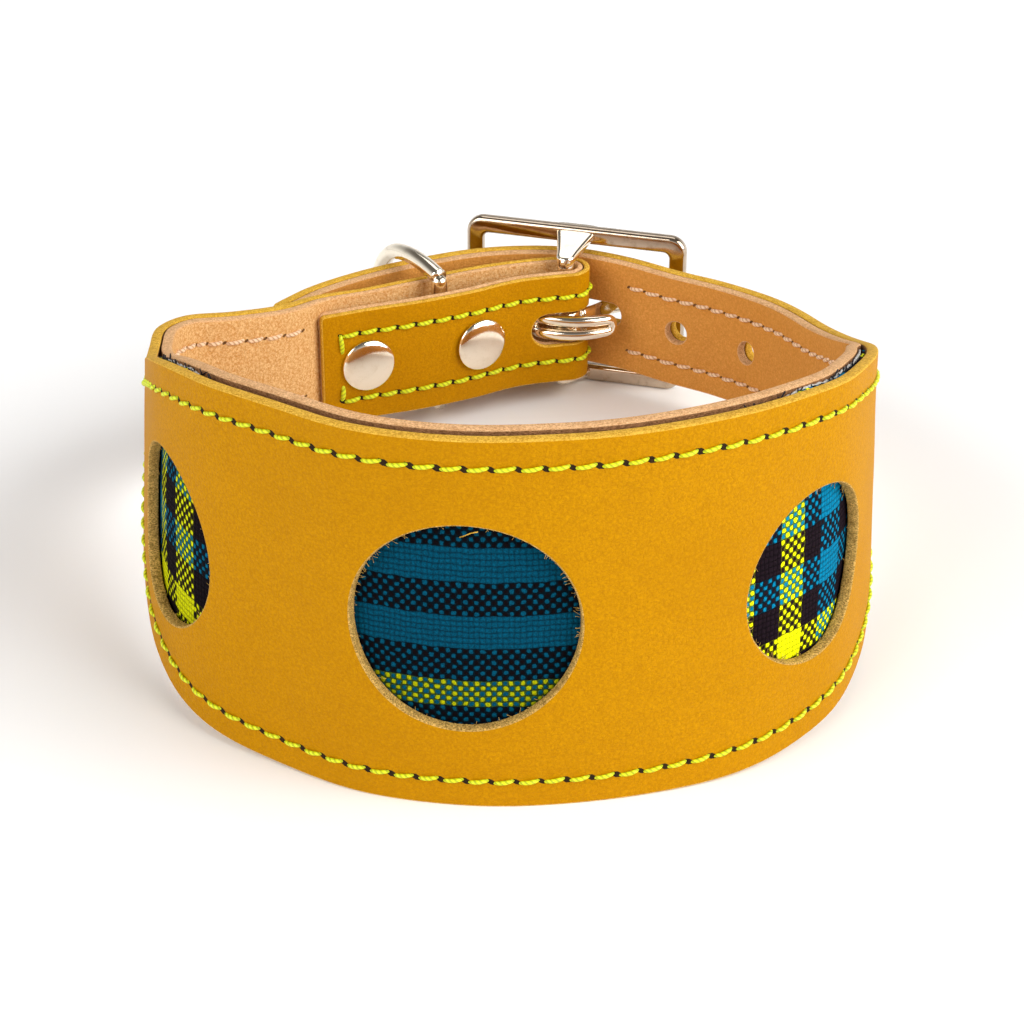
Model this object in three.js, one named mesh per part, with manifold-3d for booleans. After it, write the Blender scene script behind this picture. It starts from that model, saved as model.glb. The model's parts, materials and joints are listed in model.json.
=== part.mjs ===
// A wide leather hound collar, buckled and standing on its edge. Millimetres, +Z up, wide front facing -Y.
// Two leathers are stitched together into one strip. The strip starts at a short flap inside the ring, folds
// round the buckle's centre bar, runs round the left side, the wide front and the right side, and ends in a
// plain strap that goes back through the buckle and the D-ring.
import * as THREE from "three";
import { mergeVertices } from "three/addons/utils/BufferGeometryUtils.js";
import Module from "manifold-3d";

const wasm = await Module();
wasm.setup();

// ---- driving dimensions ----
const FRONT_WIDTH = 55;
const STRAP_WIDTH = 20;
const TIP_WIDTH = 19; // the strap end is pared a little to slip through the D-ring
const TAPER_TO_BUCKLE = 98; // from the middle of the front to where the plain strap starts
const TAPER_TO_TIP = 133;
const TAPER_POWER = 1.8; // above 1 keeps the front full and tapers late
const SAG = 13; // the buckle end hangs this much below the level of the front's middle
const SAG_START = 50;
const SAG_END = 170;
const LEAN_TO_BUCKLE = 0.074; // the side walls lean inwards at the top: millimetres per millimetre of height
const LEAN_TO_TIP = 0.039;
const LEAN_SPAN = [15, 50, 90, 130]; // distances from the middle: starts, is full, fades and ends

const LEATHER = 1.6; // outer leather and lining leather, each
const SKIVED = 0.95; // both leathers are pared thinner along the flap and round the buckle bar
const SKIVE_FULL = 46; // distance from the fold's middle that is fully pared
const SKIVE_END = 62;
const GAP = 0.25; // clearance between neighbouring layers
const CLOTH = 0.35; // plaid cloth
const BACKING = 0.25; // white cloth behind the plaid
const CLOTH_FROM = -84; // the cloth's ends, measured from the middle of the front
const CLOTH_TO = 84;
const CLOTH_EASE = 14; // length over which the lining closes up beyond the cloth
const CLOTH_INSET = 0.4; // the cloth stops this far inside the leather's edges

// The round cut-outs: distance along the strip, height above its middle line, radius.
const CENTRE_CUTOUT = [0.3, 0, 15.3];
const SIDE_CUTOUTS = [[-51.6, -1.8, 12.9], [51.6, -1.1, 12.8]];
const PUNCH_RADIUS = 2;
const PUNCH_PITCH = 16;
const PUNCHES_FROM_USED = [-2, -1, 1, 2]; // in pitches
const USED_HOLE_PLACE = new THREE.Vector3(9.9, 97, 0);
const USED_HOLE_LENGTH = 8.4; // the hole in use is drawn out long by the tongue

const STITCH_INSET = 4;
const THREAD_WIDTH = 0.8;
const THREAD_DEPTH = 0.4;
const THREAD_CLEARANCE = 0.3;

const BAR_CENTRE = new THREE.Vector3(2.4, 91.3, 0);
const BAR_RADIUS = 1.4;
const FOLD_SLACK = 0.6; // between the bar and the lining that is folded round it
const FOLD_RADIUS = BAR_RADIUS + FOLD_SLACK + 2 * SKIVED + GAP;
const FOLD_TURN = 3; // degrees that the fold is turned about the bar
const SLOT_WIDTH = 6;
const SLOT_HALF_LENGTH = 12.6;

const FRAME_LENGTH = 39.2;
const FRAME_HEIGHT = 29;
const FRAME_WALL = 3;
const FRAME_DEPTH = 2.2;
const FRAME_OFFSET = 6.2; // from the centre bar to the frame's inner face
const FRAME_TURN = -15.5; // degrees, seen from above
const FRAME_CORNER = 2.4;
const WINDOW_CORNER = 1.6;
const FRAME_BEVEL = 0.5;
const LUG_WIDTH = 8;
const LUG_THICKNESS = 1.8;
const LUG_HEIGHT = 10.4; // underside of a lug where it holds the bar, from the frame's middle
const LUG_RISE = 2.3; // how much further out the lug joins the frame
const EYE_RADIUS = 4.1;
const EYE_WIDTH = 4.4;
const TONGUE_WIDTH = 3;
const TONGUE_THICKNESS = 1.8;

const D_WIRE = 1.4; // wire radius
const D_BAR_HALF = 11.7;
const D_REACH = 19.8; // from the bar to the middle of the bow's wire
const D_BAR_CENTRE = new THREE.Vector3(-19, 82.4, 0);
const D_TURN = 35; // degrees that the bow leans left of straight back

const RIVET_CAP_RADIUS = 4.6;
const INNER_CAP_HEIGHT = 1.4;
const OUTER_CAP_HEIGHT = 0.9; // the outer caps are pressed flatter, under the strap end
const RIVET_POST_RADIUS = 1.4;
const RIVET_HOLE_RADIUS = 1.75;
const RIVET_FROM_FLAP_END = [8, 28.5];
const RIVET_LAG = 1.5; // how far a rivet's outer end stands behind its inner one along the strap
const CAP_RIM = 0.45;
const CAP_CLEARANCE = 0.3;

// ---- the strip's line, seen from above, along the outer face of the outer leather ----
const FLAP_LINE = [[-38, 69.5], [-30.5, 72.9], [-22, 76.1], [-13.4, 80.2], [-5.4, 84.9]];
const LEFT_LINE = [
  [-5, 94], [-14, 90.7], [-24.5, 84.8], [-32.2, 79.3], [-39.4, 74.4], [-44.8, 68.1], [-51.6, 63],
  [-58.8, 58.6], [-62.4, 51.5], [-62.5, 41.5], [-61.5, 30], [-59.7, 16.4], [-55.8, 0], [-47.9, -13.1],
  [-37.1, -21.8], [-26.5, -28],
];
const FRONT_MIDDLE = [-13, -31];
const RIGHT_LINE = [
  [0, -30.5], [11.7, -28], [23.3, -23.2], [31.5, -17.1], [37.9, -9.9], [42.3, 0.5], [45.3, 13.5],
  [46.8, 28.4], [46.6, 46], [43.7, 59.9], [37.9, 74], [29.9, 83.5], [21.5, 89.7], [13, 95.6], [4.2, 99.4],
  [-5, 100.4], [-14, 99.3], [-24, 95.3], [-33, 89.9], [-40.6, 83.6], [-44.8, 78.4], [-46.6, 75.8],
];

const foldLine = [-90, -67.5, -45, -22.5, 0, 22.5, 45, 67.5, 90].map((turn) => {
  const angle = THREE.MathUtils.degToRad(turn + FOLD_TURN);
  return [BAR_CENTRE.x + FOLD_RADIUS * Math.cos(angle), BAR_CENTRE.y + FOLD_RADIUS * Math.sin(angle)];
});
const linePoints = [...FLAP_LINE, ...foldLine, ...LEFT_LINE, FRONT_MIDDLE, ...RIGHT_LINE];
const line = new THREE.CatmullRomCurve3(
  linePoints.map(([x, y]) => new THREE.Vector3(x, y, 0)),
  false,
  "centripetal",
);
line.arcLengthDivisions = 3000;
const lineLengths = line.getLengths();
const lineLength = line.getLength();

// Distance along the line of its point number `index`.
function lengthAtPoint(index) {
  const place = (index / (linePoints.length - 1)) * line.arcLengthDivisions;
  const low = Math.floor(place);
  const high = Math.min(low + 1, line.arcLengthDivisions);
  return THREE.MathUtils.lerp(lineLengths[low], lineLengths[high], place - low);
}

// Distances along the strip, `s`, are counted from the middle of the front: negative towards the buckle.
const MIDDLE = lengthAtPoint(linePoints.indexOf(FRONT_MIDDLE));
const FLAP_END = -MIDDLE;
const TIP = lineLength - MIDDLE;
const FOLD = lengthAtPoint(FLAP_LINE.length + (foldLine.length - 1) / 2) - MIDDLE;

// Distance along the strip, past the middle of the front, of the place on it nearest to a point.
function nearest(point) {
  let best = 0;
  let bestDistance = Infinity;
  for (let s = 0; s < TIP; s += 0.25) {
    const distance = line.getPointAt((s + MIDDLE) / lineLength).distanceTo(point);
    if (distance < bestDistance) {
      bestDistance = distance;
      best = s;
    }
  }
  return best;
}
const USED_HOLE = nearest(USED_HOLE_PLACE);

function ease(value, low, high) {
  return THREE.MathUtils.smoothstep(value, low, high);
}

function halfWidth(s) {
  const share = Math.min(Math.abs(s) / (s < 0 ? TAPER_TO_BUCKLE : TAPER_TO_TIP), 1);
  const full = (1 + Math.cos(Math.PI * share ** TAPER_POWER)) / 2;
  const paring = ((STRAP_WIDTH - TIP_WIDTH) / 2) * ease(s, TIP - 60, TIP - 30);
  return STRAP_WIDTH / 2 + ((FRONT_WIDTH - STRAP_WIDTH) / 2) * full - paring;
}

function centreHeight(s) {
  return FRONT_WIDTH / 2 - SAG * ease(Math.abs(s), SAG_START, SAG_END);
}

function leanInwards(s) {
  const [start, full, fade, end] = LEAN_SPAN;
  const lean = s < 0 ? LEAN_TO_BUCKLE : LEAN_TO_TIP;
  return lean * ease(Math.abs(s), start, full) * (1 - ease(Math.abs(s), fade, end));
}

function leatherThickness(s) {
  return SKIVED + (LEATHER - SKIVED) * ease(Math.abs(s - FOLD), SKIVE_FULL, SKIVE_END);
}

// Depth below the outer face at which the lining starts: it stands back from the outer leather by the cloth.
function liningDepth(s) {
  const cloth = CLOTH + BACKING + 2 * GAP;
  const covered =
    ease(s, CLOTH_FROM - CLOTH_EASE, CLOTH_FROM) * (1 - ease(s, CLOTH_TO, CLOTH_TO + CLOTH_EASE));
  return leatherThickness(s) + GAP + cloth * covered;
}

// The place at distance s along the strip, `rise` above its middle line and `out` from its outer face.
function place(s, rise, out) {
  const share = THREE.MathUtils.clamp((s + MIDDLE) / lineLength, 0, 1);
  const point = line.getPointAt(share);
  const along = line.getTangentAt(share);
  const leant = out - leanInwards(s) * rise;
  return new THREE.Vector3(point.x + along.y * leant, point.y - along.x * leant, centreHeight(s) + rise);
}

// ---- solids ----
function toSolid(geometry) {
  const bare = new THREE.BufferGeometry();
  bare.setAttribute("position", geometry.getAttribute("position").clone());
  if (geometry.index) bare.setIndex(geometry.index.clone());
  const merged = mergeVertices(bare, 1e-4);
  return new wasm.Manifold(
    new wasm.Mesh({
      numProp: 3,
      vertProperties: new Float32Array(merged.attributes.position.array),
      triVerts: new Uint32Array(merged.index.array),
    }),
  );
}

function toGeometry(solid) {
  const mesh = solid.getMesh();
  const geometry = new THREE.BufferGeometry();
  geometry.setAttribute("position", new THREE.BufferAttribute(mesh.vertProperties, 3));
  geometry.setIndex(new THREE.BufferAttribute(mesh.triVerts, 1));
  geometry.computeVertexNormals();
  return geometry;
}

function cut(geometry, cutters) {
  return toGeometry(cutters.reduce((left, cutter) => left.subtract(toSolid(cutter)), toSolid(geometry)));
}

function join(geometries) {
  return toGeometry(geometries.map(toSolid).reduce((sum, next) => sum.add(next)));
}

function reshape(geometry, move) {
  const position = geometry.getAttribute("position");
  const point = new THREE.Vector3();
  for (let i = 0; i < position.count; i++) {
    point.copy(move(new THREE.Vector3().fromBufferAttribute(position, i)));
    position.setXYZ(i, point.x, point.y, point.z);
  }
  return geometry;
}

// Distances from `from` to `to`, about `step` apart and a third of that round the fold.
function stations(from, to, step) {
  const list = [from];
  while (list[list.length - 1] < to - 0.01) {
    const s = list[list.length - 1];
    const near = Math.abs(s - FOLD) < FOLD_RADIUS * 3;
    list.push(Math.min(s + (near ? step / 3 : step), to));
  }
  return list;
}

// A band bent along the strip: `rises` and `outs` give its two edges and its two faces at each distance s.
function band(from, to, step, rises, outs) {
  const list = stations(from, to, step);
  const box = new THREE.BoxGeometry(1, 1, 1, list.length - 1, 1, 1);
  return reshape(box, (corner) => {
    const s = list[Math.round((corner.x + 0.5) * (list.length - 1))];
    const [low, high] = rises(s);
    const [inner, outer] = outs(s);
    return place(s, corner.z > 0 ? low : high, corner.y > 0 ? outer : inner);
  });
}

// A round cutter through the whole strip, square to it, bent as the strip is.
function punch(s, radius, sides, rise = 0) {
  const cylinder = new THREE.CylinderGeometry(radius, radius, 1, sides);
  return reshape(cylinder, (corner) => place(s + corner.x, rise - corner.z, corner.y > 0 ? 3 : -7));
}

// A long cutter with round ends.
function slot(s, halfLength, halfHeight, deepest) {
  const height = (at) => {
    const overEnd = Math.max(Math.abs(at - s) - (halfLength - halfHeight), 0);
    return Math.max(Math.sqrt(Math.max(halfHeight ** 2 - overEnd ** 2, 0)), 0.3);
  };
  return band(s - halfLength, s + halfLength, 0.9, (at) => [-height(at), height(at)], () => [deepest, 1]);
}

// ---- leather and cloth ----
const STEP = 3.2; // lengths of the flat facets that follow the bends
const THREAD_STEP = 4.2;
const edges = (s) => [-halfWidth(s), halfWidth(s)];
const tongueSlot = () => slot(FOLD, SLOT_HALF_LENGTH, SLOT_WIDTH / 2, -3.4);
const usedHole = () => slot(USED_HOLE, USED_HOLE_LENGTH / 2, PUNCH_RADIUS + 0.1, -6);
const punchedHoles = PUNCHES_FROM_USED.map((n) => punch(USED_HOLE + n * PUNCH_PITCH, PUNCH_RADIUS, 12));

// The rivets go through the flap and the strap behind it, as square to both as their slight angle allows.
// Each cap lies square on its own face.
const rivets = RIVET_FROM_FLAP_END.map((distance) => {
  const nearAt = FLAP_END + distance;
  const farAt = 2 * FOLD - nearAt + RIVET_LAG;
  const near = place(nearAt, 0, 0);
  const far = place(farAt, 0, 0);
  return {
    near,
    far,
    nearFacing: place(nearAt, 0, 1).sub(near),
    farFacing: place(farAt, 0, 1).sub(far),
    outward: far.clone().sub(near).normalize(),
    length: far.distanceTo(near),
  };
});

// Turns a shape made about +Y so that it stands on `outward`, with its origin at `start`.
function aim(geometry, start, outward) {
  const turn = new THREE.Quaternion().setFromUnitVectors(new THREE.Vector3(0, 1, 0), outward);
  return geometry.applyQuaternion(turn).translate(start.x, start.y, start.z);
}

function rivetHole({ near, outward, length }) {
  const hole = new THREE.CylinderGeometry(RIVET_HOLE_RADIUS, RIVET_HOLE_RADIUS, length + 2, 12);
  return aim(hole.translate(0, length / 2, 0), near, outward);
}

const outerLeather = cut(
  band(FLAP_END, TIP, STEP, edges, (s) => [-leatherThickness(s), 0]),
  [
    punch(CENTRE_CUTOUT[0], CENTRE_CUTOUT[2], 40, CENTRE_CUTOUT[1]),
    ...SIDE_CUTOUTS.map(([s, rise, radius]) => punch(s, radius, 36, rise)),
    tongueSlot(),
    usedHole(),
    ...punchedHoles,
    ...rivets.map(rivetHole),
  ],
);
const liningLeather = cut(
  band(FLAP_END, TIP, STEP, edges, (s) => [-liningDepth(s) - leatherThickness(s), -liningDepth(s)]),
  [tongueSlot(), usedHole(), ...punchedHoles, ...rivets.map(rivetHole)],
);
const clothEdges = (s) => [-halfWidth(s) + CLOTH_INSET, halfWidth(s) - CLOTH_INSET];
const clothDepth = LEATHER + GAP;
const plaidCloth = band(CLOTH_FROM, CLOTH_TO, STEP, clothEdges, () => [-clothDepth - CLOTH, -clothDepth]);
const backingDepth = clothDepth + CLOTH + GAP;
const backingCloth = band(CLOTH_FROM, CLOTH_TO, STEP, clothEdges, () => [
  -backingDepth - BACKING,
  -backingDepth,
]);

// ---- thread ----
// One row of thread along an edge. `side` is 1 for the upper edge and -1 for the lower.
function threadRow(from, to, side, outs) {
  const middle = (s) => side * (halfWidth(s) - STITCH_INSET);
  const rises = (s) => [middle(s) - THREAD_WIDTH / 2, middle(s) + THREAD_WIDTH / 2];
  return band(from, to, THREAD_STEP, rises, outs);
}

// A short row across the strip at distance s.
function crossRow(s, low, high, outs) {
  return band(s - THREAD_WIDTH / 2, s + THREAD_WIDTH / 2, THREAD_WIDTH, () => [low, high], outs);
}

const onOuter = () => [THREAD_CLEARANCE, THREAD_CLEARANCE + THREAD_DEPTH];
const onLining = (s) => {
  const face = -liningDepth(s) - leatherThickness(s);
  return [face - THREAD_CLEARANCE - THREAD_DEPTH, face - THREAD_CLEARANCE];
};
// Where the strap end and the flap cover the thread it is left out, and nothing runs on inside the fold.
const BODY_THREAD_FROM = FOLD + 64;
const BOBBIN_FROM = FOLD + 60;
const BOBBIN_TO = USED_HOLE - 6;
const TIP_STITCH = TIP - STITCH_INSET;
const tipRise = halfWidth(TIP_STITCH) - STITCH_INSET + THREAD_WIDTH / 2;
const bodyThread = join([
  threadRow(BODY_THREAD_FROM, TIP_STITCH, 1, onOuter),
  threadRow(BODY_THREAD_FROM, TIP_STITCH, -1, onOuter),
  crossRow(TIP_STITCH, -tipRise, tipRise, onOuter),
]);
const FLAP_STITCH = FLAP_END + 3.4;
const FLAP_TURN_IN = 2.2; // how far each flap row turns in across the flap's end, before the rivet's cap
const flapRise = STRAP_WIDTH / 2 - STITCH_INSET + THREAD_WIDTH / 2;
const flapThreads = [1, -1].map((side) => {
  const ends = [side * (flapRise - FLAP_TURN_IN), side * flapRise];
  return join([
    threadRow(FLAP_STITCH, FOLD - 5, side, onOuter),
    crossRow(FLAP_STITCH, Math.min(...ends), Math.max(...ends), onOuter),
  ]);
});
const bobbinThreads = [1, -1].map((side) => threadRow(BOBBIN_FROM, BOBBIN_TO, side, onLining));

// ---- rivets ----
// A domed cap on a flat rim, made about +Y with its underside at height 0.
function capShape(height) {
  const profile = [new THREE.Vector2(0, 0), new THREE.Vector2(RIVET_CAP_RADIUS, 0)];
  for (let degrees = 0; degrees < 90; degrees += 18) {
    const angle = THREE.MathUtils.degToRad(degrees);
    const radius = RIVET_CAP_RADIUS * Math.cos(angle);
    profile.push(new THREE.Vector2(radius, CAP_RIM + (height - CAP_RIM) * Math.sin(angle)));
  }
  profile.push(new THREE.Vector2(0, height));
  return new THREE.LatheGeometry(profile, 24);
}

const rivetPieces = rivets.map(({ near, far, nearFacing, farFacing, outward, length }) => {
  const innerPlace = near.clone().addScaledVector(nearFacing, CAP_CLEARANCE);
  const outerPlace = far.clone().addScaledVector(farFacing, CAP_CLEARANCE);
  const post = new THREE.CylinderGeometry(RIVET_POST_RADIUS, RIVET_POST_RADIUS, length, 12);
  const postPlace = near.clone().addScaledVector(outward, length / 2 + CAP_CLEARANCE + 0.2);
  return {
    innerCap: aim(capShape(INNER_CAP_HEIGHT), innerPlace, nearFacing),
    outerCapAndPost: join([
      aim(capShape(OUTER_CAP_HEIGHT), outerPlace, farFacing),
      aim(post, postPlace, outward),
    ]),
  };
});

// ---- buckle ----
const strapHeight = centreHeight(FOLD);
const buckle = new THREE.Group();
buckle.position.set(BAR_CENTRE.x, BAR_CENTRE.y, strapHeight);
buckle.rotation.z = THREE.MathUtils.degToRad(FRAME_TURN);

function roundedOutline(outline, length, height, radius) {
  const x = length / 2;
  const y = height / 2;
  outline.moveTo(-x + radius, -y);
  outline.lineTo(x - radius, -y);
  outline.absarc(x - radius, -y + radius, radius, -Math.PI / 2, 0);
  outline.lineTo(x, y - radius);
  outline.absarc(x - radius, y - radius, radius, 0, Math.PI / 2);
  outline.lineTo(-x + radius, y);
  outline.absarc(-x + radius, y - radius, radius, Math.PI / 2, Math.PI);
  outline.lineTo(-x, -y + radius);
  outline.absarc(-x + radius, -y + radius, radius, Math.PI, 1.5 * Math.PI);
  return outline;
}

// In the buckle's own frame: +X along the strap, +Y outwards, +Z up, with the centre bar on the Z axis.
function frameRing() {
  const shrink = 2 * FRAME_BEVEL;
  const outline = roundedOutline(
    new THREE.Shape(),
    FRAME_LENGTH - shrink,
    FRAME_HEIGHT - shrink,
    FRAME_CORNER,
  );
  const window = roundedOutline(
    new THREE.Path(),
    FRAME_LENGTH - 2 * FRAME_WALL + shrink,
    FRAME_HEIGHT - 2 * FRAME_WALL + shrink,
    WINDOW_CORNER,
  );
  outline.holes.push(window);
  const ring = new THREE.ExtrudeGeometry(outline, {
    depth: FRAME_DEPTH - shrink,
    bevelThickness: FRAME_BEVEL,
    bevelSize: FRAME_BEVEL,
    bevelSegments: 2,
    curveSegments: 4,
  });
  return ring.rotateX(Math.PI / 2).translate(0, FRAME_OFFSET + FRAME_DEPTH - FRAME_BEVEL, 0);
}

// A plate that slopes from the frame's outer edge in to the end of the bar.
function lug(side) {
  const reach = FRAME_OFFSET + FRAME_DEPTH - 0.6;
  const outline = new THREE.Shape();
  outline.moveTo(-LUG_WIDTH / 2, reach);
  outline.lineTo(-BAR_RADIUS, -BAR_RADIUS * 0.6);
  outline.absarc(0, 0, BAR_RADIUS + 0.2, Math.PI, 2 * Math.PI);
  outline.lineTo(LUG_WIDTH / 2, reach);
  const plate = new THREE.ExtrudeGeometry(outline, {
    depth: LUG_THICKNESS,
    bevelEnabled: false,
    curveSegments: 4,
  });
  plate.translate(0, 0, side > 0 ? LUG_HEIGHT : -LUG_HEIGHT - LUG_THICKNESS);
  return reshape(plate, (corner) => corner.setZ(corner.z + side * LUG_RISE * (corner.y / reach)));
}

const barLength = 2 * (LUG_HEIGHT + LUG_THICKNESS) - 0.6;
const centreBar = new THREE.CylinderGeometry(BAR_RADIUS, BAR_RADIUS, barLength, 14).rotateX(Math.PI / 2);
const buckleFrame = join([frameRing(), lug(1), lug(-1), centreBar]);

// The tongue seen from its edge, in the buckle's frame: a round eye and a bent shaft.
const TONGUE_LINE = [[2.6, 1.6], [4.4, 4.2], [6.2, 7.2], [9.2, 9.4], [14, 9.9], [20.2, 9.5]];
const TONGUE_TAPER_FROM = 0.7; // share of the shaft's length where it starts to thin towards the tip
const TONGUE_TIP_SHARE = 0.45;

function tongueShape() {
  const eye = new THREE.Shape();
  eye.absarc(0, 0, EYE_RADIUS, 0, 2 * Math.PI);
  const bore = new THREE.Path();
  bore.absarc(0, 0, BAR_RADIUS + 0.3, 0, 2 * Math.PI);
  eye.holes.push(bore);
  const eyeSolid = new THREE.ExtrudeGeometry(eye, {
    depth: EYE_WIDTH,
    bevelEnabled: false,
    curveSegments: 12,
  });
  const middle = new THREE.CatmullRomCurve3(
    TONGUE_LINE.map(([x, y]) => new THREE.Vector3(x, y, 0)),
    false,
    "centripetal",
  );
  const steps = 14;
  const upper = [];
  const lower = [];
  for (let i = 0; i <= steps; i++) {
    const point = middle.getPointAt(i / steps);
    const along = middle.getTangentAt(i / steps);
    const thinned = ease(i / steps, TONGUE_TAPER_FROM, 1) * (1 - TONGUE_TIP_SHARE);
    const half = (TONGUE_THICKNESS / 2) * (1 - thinned);
    upper.push(new THREE.Vector2(point.x - along.y * half, point.y + along.x * half));
    lower.unshift(new THREE.Vector2(point.x + along.y * half, point.y - along.x * half));
  }
  const shaft = new THREE.ExtrudeGeometry(new THREE.Shape([...upper, ...lower]), {
    depth: TONGUE_WIDTH,
    bevelEnabled: false,
  });
  return join([eyeSolid.translate(0, 0, -EYE_WIDTH / 2), shaft.translate(0, 0, -TONGUE_WIDTH / 2)]);
}

// ---- D-ring ----
const dRingPlace = new THREE.Group();
dRingPlace.position.set(D_BAR_CENTRE.x, D_BAR_CENTRE.y, strapHeight);
dRingPlace.rotation.z = THREE.MathUtils.degToRad(D_TURN);

// In its own frame: the straight bar is on the Z axis and the bow stands out along +Y.
// Half the bow, as shares of the reach and of the bar's half length, from the bar to the middle of the bow.
const D_HALF_BOW = [[0, 1], [0.23, 1.06], [0.5, 1.06], [0.74, 0.94], [0.93, 0.58]];

function dRing() {
  const upper = D_HALF_BOW.map(([y, z]) => new THREE.Vector3(0, y * D_REACH, z * D_BAR_HALF));
  const lower = upper.map((point) => new THREE.Vector3(0, point.y, -point.z));
  const middle = new THREE.Vector3(0, D_REACH, 0);
  const bow = new THREE.CatmullRomCurve3([...lower, middle, ...upper.reverse()], false, "centripetal");
  const section = new THREE.Shape();
  section.absarc(0, 0, D_WIRE, 0, 2 * Math.PI);
  const wire = new THREE.ExtrudeGeometry(section, { steps: 24, extrudePath: bow, curveSegments: 5 });
  const bar = new THREE.CylinderGeometry(D_WIRE, D_WIRE, 2 * D_BAR_HALF + 0.8, 12).rotateX(Math.PI / 2);
  return join([wire, bar]);
}

// ---- materials and the finished group ----
const yellowLeather = { color: 0xd99a00, roughness: 0.5, metalness: 0 };
const tanLeather = { color: 0xcd9050, roughness: 0.8, metalness: 0 };
const plaid = { color: 0x0a5f86, roughness: 0.9, metalness: 0 };
const whiteCloth = { color: 0xe8e6de, roughness: 0.9, metalness: 0 };
const limeThread = { color: 0xd8ea00, roughness: 0.6, metalness: 0 };
const creamThread = { color: 0xe6cfa8, roughness: 0.7, metalness: 0 };
const nickel = { color: 0xd8d4cc, roughness: 0.2, metalness: 1 };

function named(name, geometry, look) {
  const mesh = new THREE.Mesh(geometry, new THREE.MeshStandardMaterial(look));
  mesh.name = name;
  return mesh;
}

const collar = new THREE.Group();
collar.add(named("outer_leather", outerLeather, yellowLeather));
collar.add(named("lining_leather", liningLeather, tanLeather));
collar.add(named("plaid_fabric", plaidCloth, plaid));
collar.add(named("fabric_backing", backingCloth, whiteCloth));
collar.add(named("body_needle_thread", bodyThread, limeThread));
flapThreads.forEach((geometry, i) => {
  collar.add(named(["flap_thread_upper", "flap_thread_lower"][i], geometry, limeThread));
});
bobbinThreads.forEach((geometry, i) => {
  collar.add(named(["bobbin_thread_upper", "bobbin_thread_lower"][i], geometry, creamThread));
});
rivetPieces.forEach(({ innerCap, outerCapAndPost }, i) => {
  const end = ["flap_end", "buckle_end"][i];
  collar.add(named("rivet_cap_" + end, innerCap, nickel));
  collar.add(named("rivet_post_" + end, outerCapAndPost, nickel));
});
buckle.add(named("buckle_frame", buckleFrame, nickel));
buckle.add(named("buckle_tongue", tongueShape(), nickel));
dRingPlace.add(named("d_ring", dRing(), nickel));
collar.add(buckle, dRingPlace);

// The origin is under the middle of the collar's box, at the surface it stands on.
const part = new THREE.Group();
part.add(collar);
part.updateMatrixWorld(true);
const box = new THREE.Box3().setFromObject(collar, true);
const centre = box.getCenter(new THREE.Vector3());
collar.position.set(-centre.x, -centre.y, -box.min.z);

export default part;
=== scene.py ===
import json
import math
import random
from functools import partial

import bpy
import numpy as np
from mathutils import Matrix, Vector
from mathutils.geometry import delaunay_2d_cdt


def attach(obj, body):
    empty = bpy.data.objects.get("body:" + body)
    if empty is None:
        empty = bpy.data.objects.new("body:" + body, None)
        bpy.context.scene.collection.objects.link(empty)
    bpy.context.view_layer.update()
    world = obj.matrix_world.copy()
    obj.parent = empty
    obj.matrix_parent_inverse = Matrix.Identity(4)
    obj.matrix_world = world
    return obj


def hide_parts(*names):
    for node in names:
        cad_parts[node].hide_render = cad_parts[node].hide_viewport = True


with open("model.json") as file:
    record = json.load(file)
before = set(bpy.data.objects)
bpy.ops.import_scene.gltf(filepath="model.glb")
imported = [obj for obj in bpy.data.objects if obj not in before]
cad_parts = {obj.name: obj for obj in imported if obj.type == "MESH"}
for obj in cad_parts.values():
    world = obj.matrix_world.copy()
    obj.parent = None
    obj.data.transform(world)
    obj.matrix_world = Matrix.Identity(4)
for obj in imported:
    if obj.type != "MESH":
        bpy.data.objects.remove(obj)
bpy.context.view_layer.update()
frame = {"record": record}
random.seed(11)

# ---- sizes that repeat the CAD model's ----
FRONT_WIDTH = 55
STRAP_WIDTH = 20
TIP_WIDTH = 19
TAPER_TO_BUCKLE = 98
TAPER_TO_TIP = 133
TAPER_POWER = 1.8
SAG = 13
SAG_START = 50
SAG_END = 170
LEAN_TO_BUCKLE = 0.074
LEAN_TO_TIP = 0.039
LEAN_SPAN = (15, 50, 90, 130)
LEATHER = 1.6
SKIVED = 0.95
SKIVE_FULL = 46
SKIVE_END = 62
GAP = 0.25
CLOTH = 0.35
BACKING = 0.25
CLOTH_END = 84
CLOTH_EASE = 14
CLOTH_INSET = 0.4
# Each cut-out: distance along, height above the strip's middle line, radius.
CUTOUTS = ((-51.6, -1.8, 12.9), (0.3, 0, 15.3), (51.6, -1.1, 12.8))
PUNCH_RADIUS = 2
PUNCH_PITCH = 16
PUNCHES_FROM_USED = (-2, -1, 1, 2)
USED_HOLE_PLACE = (9.9, 97)
USED_HOLE_LENGTH = 8.4
STITCH_INSET = 4
BAR_CENTRE = (2.4, 91.3)
BAR_RADIUS = 1.4
FOLD_RADIUS = BAR_RADIUS + 0.6 + 2 * SKIVED + GAP
FOLD_TURN = 3
SLOT_WIDTH = 6
SLOT_HALF_LENGTH = 12.6
FRAME_LENGTH = 39.2
FRAME_HEIGHT = 29
FRAME_WALL = 3
FRAME_DEPTH = 2.2
FRAME_OFFSET = 6.2
FRAME_TURN = -15.5
LUG_WIDTH = 8
LUG_THICKNESS = 1.8
LUG_HEIGHT = 10.4
LUG_RISE = 2.3
EYE_WIDTH = 4.4
TONGUE_WIDTH = 3
TONGUE_THICKNESS = 1.8
TONGUE_LINE = ((2.6, 1.6), (4.4, 4.2), (6.2, 7.2), (9.2, 9.4), (14, 9.9), (20.2, 9.5))
D_WIRE = 1.4
D_BAR_HALF = 11.7
D_REACH = 19.8
D_BAR_CENTRE = (-19, 82.4)
D_TURN = 35
D_HALF_BOW = ((0, 1), (0.23, 1.06), (0.5, 1.06), (0.74, 0.94), (0.93, 0.58))
CAP_RADIUS = 4.6
CAP_RIM = 0.45
INNER_CAP_HEIGHT = 1.4
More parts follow.
